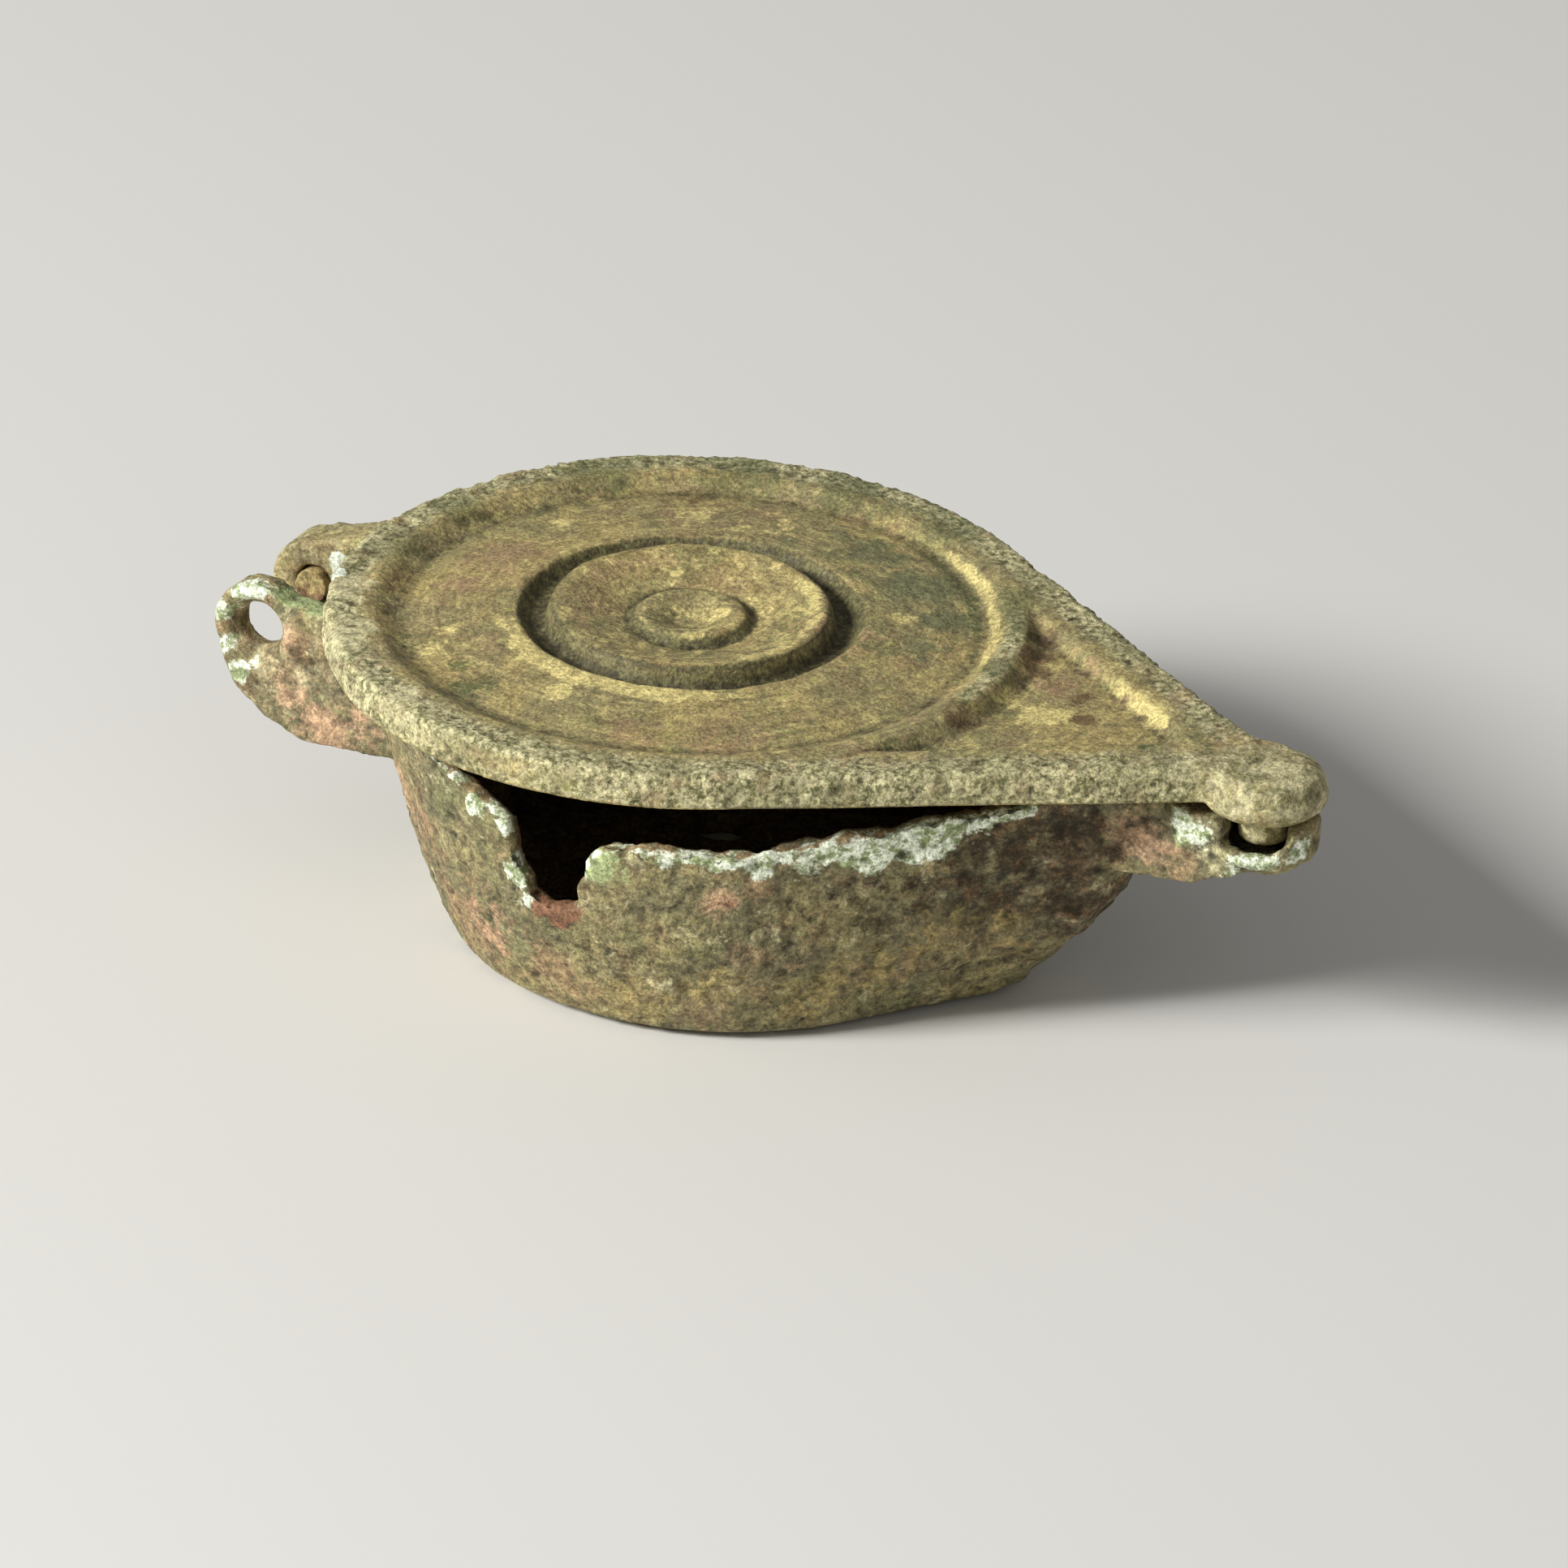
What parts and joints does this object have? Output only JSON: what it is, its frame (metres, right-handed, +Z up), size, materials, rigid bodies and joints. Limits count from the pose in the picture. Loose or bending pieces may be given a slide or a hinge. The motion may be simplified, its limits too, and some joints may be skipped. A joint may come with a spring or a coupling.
{
  "type": "roman seal box",
  "caption": "Teardrop cast bronze seal box: slotted bowl with pierced floor, hinged lid with turned rings, a nose peg and socket, and a cross pin.",
  "frame": {"origin": "on the flat base, under the centre of the lid's rings", "axes": "+X from the hinge towards the nose, +Z up out of the box, +Y to the left of +X, along the hinge pin"},
  "size_m": [0.0506, 0.0312, 0.0142],
  "materials": {
    "box_bronze": "corroded bronze, pinkish brown patina with pale mint corrosion on the broken edges",
    "lid_bronze": "corroded bronze, ochre and olive patina with a pitted border",
    "pin_iron": "rusted iron"
  },
  "bodies": {
    "box": {"box": "box_bronze", "hinge_pin": "pin_iron"},
    "lid": {"lid": "lid_bronze"}
  },
  "joints": [
    {"name": "lid_hinge", "type": "hinge", "parent": "box", "child": "lid", "pos_m": [-0.01865, 0, 0.01015], "axis": [0, -1, 0], "range_deg": [0, 120]}
  ]
}
